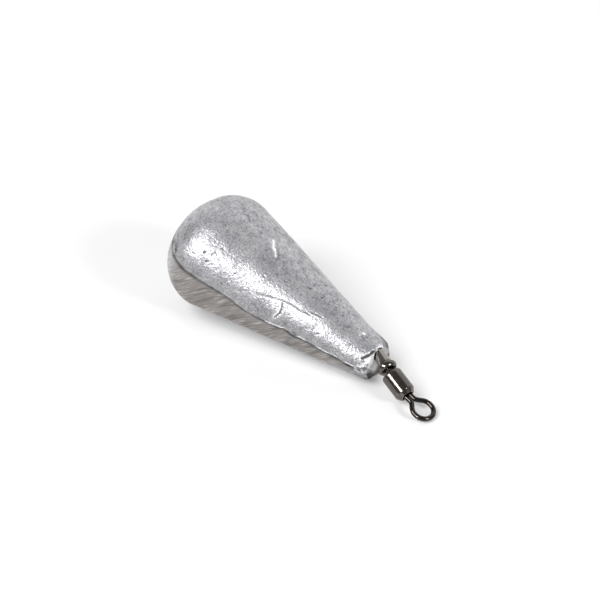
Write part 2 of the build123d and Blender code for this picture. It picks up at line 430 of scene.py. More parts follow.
def drop_radius(c, x):
    """Radius of the turned drop at places along its axis, with the nose bevel."""
    o = half_outline(c)
    x = np.asarray(x, float)
    join_x = o.middle[0] + o.radius * math.cos(o.join)
    crown = np.sqrt(np.maximum(c.crown_radius**2 - (x - c.crown_radius) ** 2, 0.0))
    shoulder = o.middle[1] + np.sqrt(np.maximum(o.radius**2 - (x - o.middle[0]) ** 2, 0.0))
    taper = np.interp(x, [o.tangent[0], o.nose[0]], [o.tangent[1], o.nose[1]])
    radius = np.where(x < join_x, crown, np.where(x < o.tangent[0], shoulder, taper))
    return radius - np.clip(x - c.casting_length + c.nose_bevel, 0.0, c.nose_bevel)


def lumps(points, cell, seed):
    """Smooth random heights from -1 to 1 at the points, with bumps about one cell across."""
    size = 48
    lattice = np.random.default_rng(seed).uniform(-1.0, 1.0, (size, size, size))
    scaled = points / cell
    base = np.floor(scaled).astype(int)
    t = scaled - base
    t = t * t * (3.0 - 2.0 * t)
    total = np.zeros(len(points))
    for corner in np.ndindex(2, 2, 2):
        weight = np.prod(np.where(np.array(corner) == 1, t, 1.0 - t), axis=1)
        i, j, k = ((base + np.array(corner)) % size).T
        total += weight * lattice[i, j, k]
    return total


def rough(points, layers):
    """Lumps of several sizes added up; each layer is a cell size, a weight and a seed."""
    return sum(weight * lumps(points, cell, seed) for cell, weight, seed in layers)


def ramp(value, width):
    """Rises from 0 to 1 while the value goes from 0 to the width."""
    return np.clip(value / width, 0.0, 1.0)


def bell(value, width):
    """1 where the value is 0, falling away on both sides over the width."""
    return np.exp(-(value / width) ** 2)


def on_upper_half(c, places):
    """Points of the upper mould half at places along the axis and angles round it in degrees."""
    places = np.asarray(places, float)
    radius = drop_radius(c, places[:, 0])
    turn = np.radians(places[:, 1])
    return np.stack(
        [places[:, 0], radius * np.cos(turn), radius * np.sin(turn) - c.half_shortfall], axis=1
    )


def distance_to_path(points, path):
    """Distance of each point to a path of straight runs, and which side of it the point is on."""
    best = np.full(len(points), 1e9)
    side = np.zeros(len(points))
    for a, b in zip(path[:-1], path[1:]):
        run = b - a
        t = np.clip((points - a) @ run / (run @ run), 0.0, 1.0)
        gap = points - (a + t[:, None] * run)
        away = np.linalg.norm(gap, axis=1)
        near = away < best
        best = np.where(near, away, best)
        across = np.cross(run, a - np.array([a[0], 0.0, 0.0]))
        side = np.where(near, np.sign(gap @ across), side)
    return best, side


def inside(flat_points, corners):
    """How far each point lies inside a closed outline; points outside count below zero."""
    corners = np.asarray(corners, float)
    within = np.zeros(len(flat_points), bool)
    away = np.full(len(flat_points), 1e9)
    u, v = flat_points[:, 0], flat_points[:, 1]
    for a, b in zip(corners, np.roll(corners, -1, axis=0)):
        crosses = (a[1] > v) != (b[1] > v)
        rise = np.where(crosses, b[1] - a[1], 1.0)
        within ^= crosses & (u < a[0] + (b[0] - a[0]) * (v - a[1]) / rise)
        run = b - a
        t = np.clip((flat_points - a) @ run / (run @ run), 0.0, 1.0)
        away = np.minimum(away, np.linalg.norm(flat_points - a - t[:, None] * run, axis=1))
    return np.where(within, away, -away)


def nose_cut(c, y, z):
    """Place along the axis where the slanted nose cut lies at points sideways and upwards of the axis."""
    under = ramp(-z - UNDER_START, UNDER_RUN) ** UNDER_BEND
    under *= UNDER_FAR_SHARE + UNDER_NEAR_SHARE * ramp(UNDER_SIDE - y, UNDER_SIDE_RUN)
    flat = c.casting_length + c.nose_cut_reach - math.tan(c.nose_cut_angle) * z
    return flat - c.nose_under_round * under


def lean_nose(c, points):
    """Leans the last rings of points so that the last one lies on the slanted nose cut."""
    x, y, z = points[..., 0], points[..., 1], points[..., 2]
    share = ramp(x - c.casting_length + LEAN_RUN, LEAN_RUN) ** 2
    shift = share * (nose_cut(c, y, z) - c.casting_length)
    o = half_outline(c)
    slope = (o.tangent[1] - o.nose[1]) / (o.nose[0] - o.tangent[0])
    narrow = 1.0 - slope * shift / drop_radius(c, x)
    return np.stack([x + shift, y * narrow, z * narrow], axis=-1)


def casting_grid(c):
    """Rings of points round the drop from the crown to the nose, and where its strips lie."""
    ground = half_outline(c, c.crown_ground, c.side_ground, c.nose_ground)
    x, flat, run = outline_points(c, ground, STATIONS)
    radius = drop_radius(c, x)
    flat = np.minimum(flat, radius)
    plain = np.maximum(np.sqrt(np.maximum(radius**2 - flat**2, 0.0)) - c.half_shortfall, LEAST_EDGE)
    settle = ramp(run, WANDER_START)

    def wander(seed, amount):
        line = np.stack([run, np.zeros_like(run), np.zeros_like(run)], axis=1)
        return amount * settle * rough(line, [(1.7, 1.0, seed), (0.6, 0.6, seed + 1)])

    near_table, foot_table = np.array(NEAR_EDGE), np.array(NEAR_FOOT)
    near_top = np.interp(x, near_table[:, 0], near_table[:, 1]) + wander(*NEAR_TOP_WANDER)
    foot = np.radians(np.interp(x, foot_table[:, 0], foot_table[:, 1]))
    near_low = np.maximum(radius * np.sin(foot) - c.half_shortfall, LEAST_EDGE) + wander(*NEAR_LOW_WANDER)
    near_low = plain + ramp(x - x[0], FOOT_SETTLE) * (near_low - plain)
    far_top = plain + wander(*FAR_TOP_WANDER)
    far_low = plain + wander(*FAR_LOW_WANDER)
    near_top[0] = near_low[0] = far_top[0] = far_low[0] = radius[0] - c.half_shortfall

    def rim_angle(edge):
        return np.arcsin(np.clip((edge + c.half_shortfall) / radius, 0.0, 1.0))

    upper = np.linspace(0.0, 1.0, UPPER_STEPS + 1)
    lower = np.linspace(0.0, 1.0, LOWER_STEPS + 1)
    strip = np.linspace(0.0, 1.0, STRIP_STEPS + 1)

    start, stop = math.pi - rim_angle(near_top), rim_angle(far_top)
    turn = start[:, None] + (stop - start)[:, None] * upper
    top_y, top_z = radius[:, None] * np.cos(turn), radius[:, None] * np.sin(turn) - c.half_shortfall

    start, stop = rim_angle(far_low), math.pi - rim_angle(near_low)
    turn = start[:, None] + (stop - start)[:, None] * lower
    low_y, low_z = radius[:, None] * np.cos(turn), c.half_shortfall - radius[:, None] * np.sin(turn)

    far_y = top_y[:, -1:] + (low_y[:, :1] - top_y[:, -1:]) * strip
    far_z = top_z[:, -1:] + (low_z[:, :1] - top_z[:, -1:]) * strip
    near_y = low_y[:, -1:] + (top_y[:, :1] - low_y[:, -1:]) * strip
    near_z = low_z[:, -1:] + (top_z[:, :1] - low_z[:, -1:]) * strip
    full_y = -np.sqrt(np.maximum(radius[:, None] ** 2 - (np.abs(near_z) + c.half_shortfall) ** 2, 0.0))
    near_y += ramp(ROUNDED_END - x, ROUNDED_RUN)[:, None] * np.minimum(full_y - near_y, 0.0)

    y = np.concatenate([top_y[:, :-1], far_y[:, :-1], low_y[:, :-1], near_y[:, :-1]], axis=1)
    z = np.concatenate([top_z[:, :-1], far_z[:, :-1], low_z[:, :-1], near_z[:, :-1]], axis=1)
    kind = np.concatenate([
        np.zeros(UPPER_STEPS, int), np.ones(STRIP_STEPS, int),
        np.full(LOWER_STEPS, 2), np.full(STRIP_STEPS, 3),
    ])
    points = lean_nose(c, np.stack([np.broadcast_to(x[:, None], y.shape), y, z], axis=2))
    return SimpleNamespace(points=points, kind=kind, run=run, x=x, near_top=near_top)


def casting_mesh(c, grid):
    """The drop's closed mesh in millimetres, with the strips as its second material."""
    stations, columns = grid.points.shape[:2]
    points = grid.points.reshape(-1, 3)

    def ring(station):
        return station * columns + np.arange(columns)

    last = grid.points[-1]
    caps = []
    for step in range(1, CAP_RINGS + 1):
        y, z = last[:, 1:].T * (1.0 - step / CAP_RINGS)
        caps.append(np.stack([nose_cut(c, y, z), y, z], axis=1))
    points = np.concatenate([points, *caps[:-1], caps[-1][:1]])

    first = ring(0)
    crown_top, crown_low = first[0], first[UPPER_STEPS + STRIP_STEPS]
    merged = first.copy()
    merged[grid.kind == 0] = crown_top
    merged[grid.kind == 2] = crown_low
    far = first[grid.kind == 1]
    merged[grid.kind == 3] = np.concatenate([[crown_low], far[1:][::-1]])
    merged[UPPER_STEPS] = crown_top

    rings = [merged] + [ring(s) for s in range(1, stations)]
    rings += [stations * columns + step * columns + np.arange(columns) for step in range(CAP_RINGS - 1)]
    places = np.append(grid.x, np.full(CAP_RINGS, c.casting_length))
    faces, strips = [], []
    for place, near, ahead in zip(places, rings[:-1], rings[1:]):
        for i in range(columns):
            j = (i + 1) % columns
            corners = []
            for v in (near[i], near[j], ahead[j], ahead[i]):
                if int(v) not in corners:
                    corners.append(int(v))
            if len(corners) > 2:
                faces.append(corners)
                strips.append(grid.kind[i] in (1, 3) and place < STRIP_END)
    centre = len(points) - 1
    for i in range(columns):
        faces.append([int(rings[-1][i]), int(rings[-1][(i + 1) % columns]), centre])
        strips.append(False)

    used = np.unique(np.concatenate([np.array(f) for f in faces]))
    renumber = np.full(len(points), -1)
    renumber[used] = np.arange(len(used))
    mesh = bpy.data.meshes.new("lead_casting")
    mesh.from_pydata(points[used].tolist(), [], [[int(renumber[v]) for v in f] for f in faces])
    mesh.polygons.foreach_set("material_index", np.array(strips, np.int32))
    mesh.polygons.foreach_set("use_smooth", np.ones(len(faces), bool))

    side = np.where(np.isin(grid.kind, (0, 3)), -1.0, 1.0)
    capped = np.zeros(len(points) - stations * columns)
    along = np.concatenate([(grid.run[:, None] * side).ravel(), capped])
    uv = np.stack([
        -along * math.cos(GRINDING_ANGLE) + points[:, 2] * math.sin(GRINDING_ANGLE),
        along * math.sin(GRINDING_ANGLE) + points[:, 2] * math.cos(GRINDING_ANGLE),
    ], axis=1)[used]
    layer = mesh.uv_layers.new(name="grinding")
    corner = np.zeros(len(mesh.loops), np.int32)
    mesh.loops.foreach_get("vertex_index", corner)
    layer.data.foreach_set("uv", (uv[corner] * MM).astype(np.float32).ravel())
    return mesh


def point_array(mesh):
    """The mesh's points as an array."""
    flat = np.zeros(len(mesh.vertices) * 3, np.float32)
    mesh.vertices.foreach_get("co", flat)
    return flat.reshape(-1, 3).astype(float)


def normal_array(mesh):
    """The mesh's point normals as an array."""
    flat = np.zeros(len(mesh.vertices) * 3, np.float32)
    mesh.vertex_normals.foreach_get("vector", flat)
    return flat.reshape(-1, 3).astype(float)


def add_mask(mesh, name, values):
    """Keeps a number at each point for the material to read."""
    attribute = mesh.attributes.new(name, "FLOAT", "POINT")
    attribute.data.foreach_set("value", np.clip(values, 0.0, 1.0).astype(np.float32))


def strip_points(mesh):
    """Which points lie on faces of the ground strips."""
    corner = np.zeros(len(mesh.loops), np.int32)
    totals = np.zeros(len(mesh.polygons), np.int32)
    kinds = np.zeros(len(mesh.polygons), np.int32)
    mesh.loops.foreach_get("vertex_index", corner)
    mesh.polygons.foreach_get("loop_total", totals)
    mesh.polygons.foreach_get("material_index", kinds)
    chosen = np.zeros(len(mesh.vertices), bool)
    chosen[corner[np.repeat(kinds, totals) == 1]] = True
    return chosen


def near_edge(c, grid):
    """Points of the near strip's upper edge, from the crown to the nose."""
    radius = drop_radius(c, grid.x)
    side = np.sqrt(np.maximum(radius**2 - (grid.near_top + c.half_shortfall) ** 2, 0.0))
    return np.stack([grid.x, -side, grid.near_top], axis=1)


def soiled(skin, amount, chosen=slice(None)):
    """Darkens the chosen points, where they weren't darkened more before; it carries soil and painted shade
    alike.
    """
    skin.soil[chosen] = np.maximum(skin.soil[chosen], amount)


def add_fresh_and_highlight(skin, amount, chosen=slice(None)):
    """Brightens the chosen points, where they weren't brightened more before; it carries fresh lead and
    painted highlights alike.
    """
    skin.fresh[chosen] = np.maximum(skin.fresh[chosen], amount)


def wear_pits(skin, c):
    """Sinks the placed pits, and small ones scattered at random, with shade painted in each, darker the
    deeper it is.
    """
    p = skin.points
    rng = np.random.default_rng(PIT_SEED)
    pits = [(on_upper_half(c, [pit[:2]])[0], *pit[2:]) for pit in PITS]
    scatter = np.flatnonzero(~skin.on_strip & (p[:, 0] < c.casting_length - PIT_FREE_NOSE))
    for pick in rng.choice(scatter, PIT_COUNT, replace=False):
        pits.append((p[pick], rng.uniform(*PIT_RADII), rng.uniform(*PIT_DEPTHS)))
    for middle, radius, depth in pits:
        near = np.flatnonzero(np.abs(p - middle).max(axis=1) < PIT_REACH * radius)
        fall = bell(np.linalg.norm(p[near] - middle, axis=1), radius)
        skin.height[near] -= depth * fall
        # Painted shade in the pit, darker the deeper it is
        soiled(skin, fall * min(1.0, depth / FULL_SHADE_PIT_DEPTH), near)


def wear_lines(skin, c):
    """Sinks the creases with shade painted in them and a highlight painted on their lips, and the gouges with
    their raised sides.
    """
    for places, width, depth, lip in CREASES:
        away, side = distance_to_path(skin.points, on_upper_half(c, places))
        skin.height -= depth * bell(away, width)
        skin.height += lip * side * bell(away, CREASE_LIP_SHARE * width)
        # Painted shade in the crease, darker the deeper it is
        tone = min(CREASE_SHADE, CREASE_SHADE_BY_DEPTH * depth)
        soiled(skin, tone * bell(away, CREASE_SHADE_SHARE * width))
        # Painted highlight on one side of the lip
        place, spread_out = (v * width for v in CREASE_HIGHLIGHT_SHARES)
        add_fresh_and_highlight(skin, min(1.0, CREASE_HIGHLIGHT_BY_LIP * lip) * (side > 0) * bell(away - place, spread_out))
    for places, width, depth in GOUGES:
        away = distance_to_path(skin.points, on_upper_half(c, places))[0]
        fall = bell(away, width)
        skin.height += depth * (bell(away - GOUGE_BURR_SHARE * width, width) - GOUGE_SINK_SHARE * fall)
        add_fresh_and_highlight(skin, fall)


def wear_edge(skin, c, grid):
    """Raises the near strip's upper edge, paints a line of shade below it and a band of shade above it, and
    paints its torn lead as glints where it has burrs.
    """
    near = np.flatnonzero(skin.points[:, 1] < 0.0)
    p, below = skin.points[near], skin.on_strip[near]
    away = distance_to_path(p, near_edge(c, grid)[::2])[0]
    patchy = np.clip(0.5 + 0.8 * lumps(p, EDGE_PATCH_CELL, 5), 0.0, 1.0)
    burr = np.zeros(len(near))
    for start, stop in BURR_RUNS:
        burr = np.maximum(burr, ramp(np.minimum(p[:, 0] - start, stop - p[:, 0]), BURR_FADE))
    skin.height[near] += (EDGE_RISE + BURR_RISE * burr * patchy) * bell(away, BURR_WIDTH)
    # Painted shade: a line below the edge and a band above it
    line = (0.4 + 0.8 * patchy) * bell(away - EDGE_SHADE_PLACE, EDGE_SHADE_WIDTH)
    shade_band = (0.14 + 0.1 * patchy) * bell(away, SHADE_BAND_WIDTH)
    soiled(skin, np.where(below, line, shade_band), near)
    # Torn lead along the burrs, painted bright as glints
    torn_and_glint = burr * (0.3 + 1.2 * patchy) * bell(away, TORN_GLINT_WIDTH)
    add_fresh_and_highlight(skin, np.where(below, 0.0, torn_and_glint), near)


def wear_nose(skin, c):
    """Cuts the step above the nose cut with shade painted on its face and a highlight on its edge, crumbles
    the lead beside it, leaves the fin on the far side, and paints shade on the underside.
    """
    p = skin.points
    turn = np.degrees(np.arctan2(p[:, 2] + c.half_shortfall, p[:, 1]))
    upper = (p[:, 2] > 0.0) & ~skin.on_strip & ~skin.on_cut

    step_table = np.array(NOSE_STEP)[::-1]
    past_step = p[:, 0] - np.interp(turn, step_table[:, 1], step_table[:, 0])
    beside = ramp(turn - STEP_TURNS[0], 4.0) * ramp(STEP_TURNS[1] - turn, 3.0) * upper
    skin.height -= STEP_DEPTH * beside * ramp(past_step, 0.15)
    # Painted shade on the face of the step
    shade = ramp(past_step, 0.12) * ramp(STEP_SHADE_END - past_step, 0.3)
    soiled(skin, beside * shade * (DEEP_SHADE + 0.1 * lumps(p, 0.5, 8)))
    # Past the band, fresh lead painted bright as a highlight
    add_fresh_and_highlight(skin, beside * ramp(past_step - STEP_BRIGHT_START, 0.3))
    # Painted highlight along the step's lit edge
    lit = beside * ramp(turn - STEP_LIT_TURN, 8.0)
    add_fresh_and_highlight(skin, lit * bell(past_step + 0.06, 0.1))

    crumbs = lumps(p, CRUMB_CELL, 9)
    crumbled = upper * ramp(p[:, 0] - CRUMB_START, 0.5) * ramp(turn - CRUMB_TURN, 3.0)
    skin.height += CRUMB_HEIGHT * crumbs * crumbled
    soiled(skin, crumbled * np.clip(1.6 * crumbs, 0.0, 0.7))
    add_fresh_and_highlight(skin, crumbled * np.clip(-2.0 * crumbs, 0.0, 0.9))

    fin = ramp(p[:, 0] - FIN_START, 3.0) ** 1.3 * ~skin.on_cut
    skin.height += FIN_HEIGHT * fin * bell(turn - FIN_TURN, FIN_SPREAD)
    seam = ramp(p[:, 0] - SEAM_START, 0.8) * bell(turn - SEAM_TURN, SEAM_SPREAD)
    soiled(skin, 0.9 * seam * upper)
    # Painted shade on the underside of the nose, where it faces the floor
    underside = ramp(UNDERSIDE_SHADE_TOP - p[:, 2], 1.2) * ramp(p[:, 0] - UNDERSIDE_SHADE_START, 1.6)
    soiled(skin, DEEP_SHADE * underside)


def wear_crown(skin):
    """Stains the blunt end above the near strip, and rubs the strip's end."""
    p = skin.points
    low, high = STAIN_HEIGHTS
    by_crown = ramp(STAIN_END - p[:, 0], 1.5) * ramp(p[:, 2] - low, 0.4)
    by_crown *= ramp(high - p[:, 2], 1.5) * (p[:, 1] < 0.0)
    soiled(skin, by_crown * np.clip(1.3 * rough(p, STAINS) - 0.1, 0.0, 0.8))
    add_fresh_and_highlight(skin, skin.on_strip * RUBBED_TONE * ramp(RUBBED_END - p[:, 0], 2.5))


def wear_nose_cut(skin, c, moved):
    """Sinks the hole round the neck in the moved points with shade painted in its gap, laps the lip over it
    with a highlight painted on its edge and shade above it, bares the fresh face painted bright as a
    highlight, and paints shade on the cut below it.
    """
    p = skin.points
    axis_point, axis = neck_axis(c)
    gap = p - axis_point
    gap -= np.outer(gap @ axis, axis)
    off_axis = np.linalg.norm(gap, axis=1)
    radius = np.maximum(off_axis, 1e-6)
    at_hole = ramp(p[:, 0] - c.casting_length + HOLE_BACK, 0.4)

    over = np.clip(1.5 * (gap @ np.array(LIP_SIDE)) / radius - 0.5, 0.0, 1.0)
    lip = over * bell(off_axis - LIP_RADIUS, LIP_WIDTH)
    moved += np.outer(at_hole * LIP_HEIGHT * lip, axis)
    hole = HOLE_RADIUS + HOLE_GAP * np.clip(1.3 * (gap @ np.array(GAP_SIDE)) / radius, 0.0, 1.0)
    moved[:, 0] -= at_hole * HOLE_DEPTH * ramp(hole - off_axis, 0.12)
    # Painted shade in the gap round the neck and above the lip
    soiled(skin, at_hole * ramp(hole + 0.02 - off_axis, 0.08))
    soiled(skin, 0.75 * at_hole * over * bell(off_axis - LIP_SHADE_RADIUS, LIP_SHADE_WIDTH))
    # Painted highlight on the lip's edge
    add_fresh_and_highlight(skin, at_hole * 1.2 * lip)

    # Fresh lead on the cut face, painted bright as a highlight
    within = inside(p[:, 1:], FRESH_LIT_FACE)
    face = np.clip(0.8 + within / 0.4, 0.0, 1.0) * (1.0 + 0.2 * lumps(p, 0.7, 6))
    # Painted shade on the cut below the fresh face
    under_face_shade = skin.on_cut * ramp(-within - 0.25, 0.6) * ramp(0.6 - p[:, 2], 0.9)
    soiled(skin, DEEP_SHADE * under_face_shade)
    add_fresh_and_highlight(skin, skin.on_cut * np.maximum(face, 0.15))


def wear_casting(mesh, c, grid):
    """Moves the points of the plain drop, and marks where its skin carries soil and painted shade, and where
    it carries fresh lead and painted highlights.
    """
    p, n = point_array(mesh), normal_array(mesh)
    on_strip = strip_points(mesh)
    calm = np.where(on_strip, STRIP_CALM, 1.0)
    height = c.unevenness * rough(p, WAVES) * calm
    height += c.grain_depth * rough(p, GRAIN) * calm
    skin = SimpleNamespace(
        points=p, on_strip=on_strip, height=height, soil=np.zeros(len(p)), fresh=np.zeros(len(p)),
        on_cut=np.abs(p[:, 0] - nose_cut(c, p[:, 1], p[:, 2])) < CUT_TOLERANCE,
    )
    wear_pits(skin, c)
    wear_lines(skin, c)
    wear_edge(skin, c, grid)
    wear_nose(skin, c)
    wear_crown(skin)
    moved = p + n * skin.height[:, None]
    wear_nose_cut(skin, c, moved)
    mesh.vertices.foreach_set("co", moved.astype(np.float32).ravel())
    # The soil mask also carries painted shade, and the fresh mask also carries painted highlights
    add_mask(mesh, "soil", skin.soil)
    add_mask(mesh, "fresh", skin.fresh * (1.0 - np.clip(skin.soil, 0.0, 1.0)))


def lying_down(c):
    """Places the casting, drawn on its own axis in millimetres, on the table in the part's frame."""
    o = half_outline(c)
    tilt = math.atan2(o.tangent[1] - o.nose[1], o.nose[0] - o.tangent[0])
    lift = c.casting_length * math.sin(tilt) + (c.nose_radius - c.half_shortfall) * math.cos(tilt)
    return Matrix.Translation((-c.origin_back, 0.0, lift - c.rest_flat)) @ Matrix.Rotation(tilt, 4, "Y")


def heading(point, yaw, dip, roll=0.0):
    """Place at a point whose X axis is turned by yaw about Z, then dipped, then rolled."""
    return (
        Matrix.Translation(point) @ Matrix.Rotation(yaw, 4, "Z")
        @ Matrix.Rotation(dip, 4, "Y") @ Matrix.Rotation(roll, 4, "X")
    )


def swivel_places(c, w):
    """Places of the neck, the barrel and the line eye, in millimetres in the part's frame."""
    bead = lying_down(c) @ Vector((c.casting_length + c.bead_reach, c.bead_offset, c.bead_height))
    neck = heading(bead, w.neck_yaw, w.neck_dip)
    rim = neck @ Vector((w.bead_length / 2 + w.groove_width + w.barrel_rim / 2, 0.0, 0.0))
    barrel = heading(rim, w.barrel_yaw, w.barrel_dip)
    end = barrel @ Vector((w.barrel_length - w.barrel_rim / 2 - w.barrel_end / 2, 0.0, 0.0))
    return neck, barrel, heading(end, w.eye_yaw, w.eye_dip, w.eye_roll)


def neck_axis(c):
    """A point and the direction of the neck's axis, in the casting's own axes."""
    w = millimetres(bpy.context.scene.sinker.swivel)
    local = lying_down(c).inverted() @ swivel_places(c, w)[0]
    return np.array(local.translation), np.array(local.to_3x3() @ Vector((1.0, 0.0, 0.0)))


# Node helpers

def add_node(tree, kind, inputs=None, **values):
    """A node with its plain values and its inputs set; an input given as a socket is linked."""
    node = tree.nodes.new(kind)
    for name, value in values.items():
        setattr(node, name, value)
    for name, value in (inputs or {}).items():
        if isinstance(value, bpy.types.NodeSocket):
            tree.links.new(value, node.inputs[name])
        else:
            node.inputs[name].default_value = value
    return node


def new_material(name):
    """An empty node material with its surface shader."""
    material = bpy.data.materials.new(name)
    material.use_nodes = True
    tree = material.node_tree
    tree.nodes.clear()
    shader = add_node(tree, "ShaderNodeBsdfPrincipled")
    output = add_node(tree, "ShaderNodeOutputMaterial")
    tree.links.new(shader.outputs["BSDF"], output.inputs["Surface"])
    return material, tree, shader


def noise(tree, vector, scale, detail=4.0, roughness=0.55):
    """Noise between 0 and 1."""
    return add_node(
        tree, "ShaderNodeTexNoise",
        {"Vector": vector, "Scale": scale, "Detail": detail, "Roughness": roughness},
    ).outputs["Fac"]


def spread(tree, value, low, high, to_low=0.0, to_high=1.0):
    """Stretches a value from one range to another and keeps it there."""
    return add_node(
        tree, "ShaderNodeMapRange",
        {"Value": value, "From Min": low, "From Max": high, "To Min": to_low, "To Max": to_high},
    ).outputs["Result"]


def mixed(tree, factor, first, second):
    """Colour between two colours; each is a socket or a plain colour."""
    node = add_node(tree, "ShaderNodeMix", data_type="RGBA")
    for index, value in ((6, first), (7, second)):
        if isinstance(value, bpy.types.NodeSocket):
            tree.links.new(value, node.inputs[index])
        else:
            node.inputs[index].default_value = (*value, 1.0)
    tree.links.new(factor, node.inputs[0])
    return node.outputs[2]


def calc(tree, operation, first, second=None):
    """One arithmetic node."""
    inputs = {0: first} if second is None else {0: first, 1: second}
    return add_node(tree, "ShaderNodeMath", inputs, operation=operation).outputs[0]


def object_coords(tree):
    """Coordinates of the piece in metres."""
    return add_node(tree, "ShaderNodeTexCoord").outputs["Object"]


def mask(tree, name):
    """A number that the mesh keeps at its points."""
    return add_node(tree, "ShaderNodeAttribute", attribute_name=name).outputs["Fac"]


def cast_lead(s):
    """Dull cast lead: clouds and grain, darkened by soil and painted shade and brightened by fresh lead and
    painted highlights from the masks.
    """
    material, tree, shader = new_material("cast_lead")
    place = object_coords(tree)
    soil = mask(tree, "soil")
    fresh = mask(tree, "fresh")
    clouds = spread(tree, noise(tree, place, 230.0, 4.0, 0.6), 0.36, 0.66)
    mottle = spread(tree, noise(tree, place, 1050.0, 3.0, 0.65), 0.36, 0.64)
    grain = spread(tree, noise(tree, place, 2900.0, 2.0, 0.6), 0.39, 0.63)
    fine_tone = add_node(tree, "ShaderNodeMath", {
        0: grain, 1: 0.42, 2: calc(tree, "MULTIPLY", mottle, 0.38)}, operation="MULTIPLY_ADD")
    tone = add_node(tree, "ShaderNodeMath", {
        0: clouds, 1: 0.3, 2: fine_tone.outputs[0]}, operation="MULTIPLY_ADD").outputs[0]
    # Fresh lead and painted highlights brighten the colour; soil and painted shade darken it
    cut = mixed(tree, fresh, mixed(tree, tone, s.dull_lead, s.dark_lead), s.fresh_lead)
    tree.links.new(mixed(tree, soil, cut, s.pit_soil), shader.inputs["Base Color"])
    tree.links.new(spread(tree, fresh, 0.0, 1.0, 0.42, 0.05), shader.inputs["Metallic"])
    dull = spread(tree, mottle, 0.0, 1.0, s.lead_roughness - 0.08, s.lead_roughness + 0.08)
    worn = spread(tree, fresh, 0.3, 1.0, 1.0, 1.2)
    tree.links.new(calc(tree, "MULTIPLY", dull, worn), shader.inputs["Roughness"])
    tree.links.new(spread(tree, soil, 0.0, 1.0, 0.5, 0.12), shader.inputs["Specular IOR Level"])
    coarse = add_node(tree, "ShaderNodeBump", {"Height": mottle, "Strength": 0.12, "Distance": 0.00012})
    bump = add_node(tree, "ShaderNodeBump", {
        "Height": grain, "Strength": 0.28, "Distance": 0.00008, "Normal": coarse.outputs["Normal"]})
    tree.links.new(bump.outputs["Normal"], shader.inputs["Normal"])
    return material


def ground_lead(s):
    """Lead of the strips, scored by the grinding belt."""
    material, tree, shader = new_material("ground_lead")
    strip = add_node(tree, "ShaderNodeUVMap", uv_map="grinding").outputs["UV"]
    place = object_coords(tree)
    soil = mask(tree, "soil")
    fresh = mask(tree, "fresh")
    stretched = add_node(tree, "ShaderNodeMapping", {"Vector": strip, "Scale": (220.0, 3400.0, 1.0)})
    scores = noise(tree, stretched.outputs["Vector"], 1.0, 3.0, 0.6)
    broad = add_node(tree, "ShaderNodeMapping", {"Vector": strip, "Scale": (160.0, 1200.0, 1.0)})
    bands = noise(tree, broad.outputs["Vector"], 1.0, 2.0, 0.5)
    dark = tuple(0.6 * v for v in s.ground_lead)
    light = tuple(min(1.0, 1.7 * v) for v in s.ground_lead)
    patch = spread(tree, noise(tree, place, 260.0, 4.0, 0.6), 0.35, 0.7)
    toned = mixed(tree, patch, s.ground_lead, tuple(0.8 * v for v in s.ground_lead))
    scored = mixed(tree, spread(tree, scores, 0.52, 0.66), toned, light)
    shaded = mixed(tree, spread(tree, bands, 0.5, 0.34), scored, dark)
    rubbed = mixed(tree, fresh, shaded, s.dull_lead)
    # Soil and painted shade from the mask, such as the line of shade below the strip's upper edge
    tree.links.new(mixed(tree, soil, rubbed, s.pit_soil), shader.inputs["Base Color"])
    shader.inputs["Metallic"].default_value = 0.6
    tree.links.new(spread(tree, scores, 0.3, 0.7, 0.62, 0.45), shader.inputs["Roughness"])
    bump = add_node(tree, "ShaderNodeBump", {"Height": scores, "Strength": 0.8, "Distance": 0.00012})
    tree.links.new(bump.outputs["Normal"], shader.inputs["Normal"])
    return material


def black_nickel(w, name, rub_scale, plating, worn):
    """Glossy dark plating with faint rubbed patches, and a painted sheen from the mesh's mask."""
    material, tree, shader = new_material(name)
    place = object_coords(tree)
    cone_sheen = mask(tree, "cone_sheen")
    # Rubbed patches, and the painted sheen on the neck's cone from its mask
    rub_and_sheen = calc(tree, "MAXIMUM", spread(tree, noise(tree, place, rub_scale, 5.0, 0.65), 0.55, 0.8), cone_sheen)
    tree.links.new(mixed(tree, rub_and_sheen, plating, worn), shader.inputs["Base Color"])
    shader.inputs["Metallic"].default_value = 1.0
    smear = noise(tree, place, 2.2 * rub_scale, 3.0, 0.6)
    tree.links.new(
        spread(tree, smear, 0.3, 0.75, 0.7 * w.nickel_roughness, 1.6 * w.nickel_roughness),
        shader.inputs["Roughness"],
    )
    ripple = noise(tree, place, 900.0, 2.0, 0.5)
    bump = add_node(tree, "ShaderNodeBump", {"Height": ripple, "Strength": 0.12, "Distance": 0.0001})
    tree.links.new(bump.outputs["Normal"], shader.inputs["Normal"])
    return material


def seen_directly(tree):
    """1 for what the camera, a reflection or glass sees, else 0."""
    path = add_node(tree, "ShaderNodeLightPath")
    either = calc(tree, "MAXIMUM", path.outputs["Is Camera Ray"], path.outputs["Is Glossy Ray"])
    return calc(tree, "MAXIMUM", either, path.outputs["Is Transmission Ray"])


def floor_paper(s):
    """White paper that keeps the shadow."""
    material = bpy.data.materials.new("floor_paper")
    material.use_nodes = True
    tree = material.node_tree
    tree.nodes.clear()
    paper = add_node(tree, "ShaderNodeBsdfDiffuse", {"Color": (*s.floor_colour, 1.0)})
    glow = add_node(tree, "ShaderNodeEmission", {
        "Color": (1.0, 1.0, 1.0, 1.0), "Strength": calc(tree, "MULTIPLY", seen_directly(tree), s.floor_glow)})
    both = add_node(tree, "ShaderNodeAddShader")
    tree.links.new(paper.outputs["BSDF"], both.inputs[0])
    tree.links.new(glow.outputs["Emission"], both.inputs[1])
    output = add_node(tree, "ShaderNodeOutputMaterial")
    tree.links.new(both.outputs["Shader"], output.inputs["Surface"])
    return material


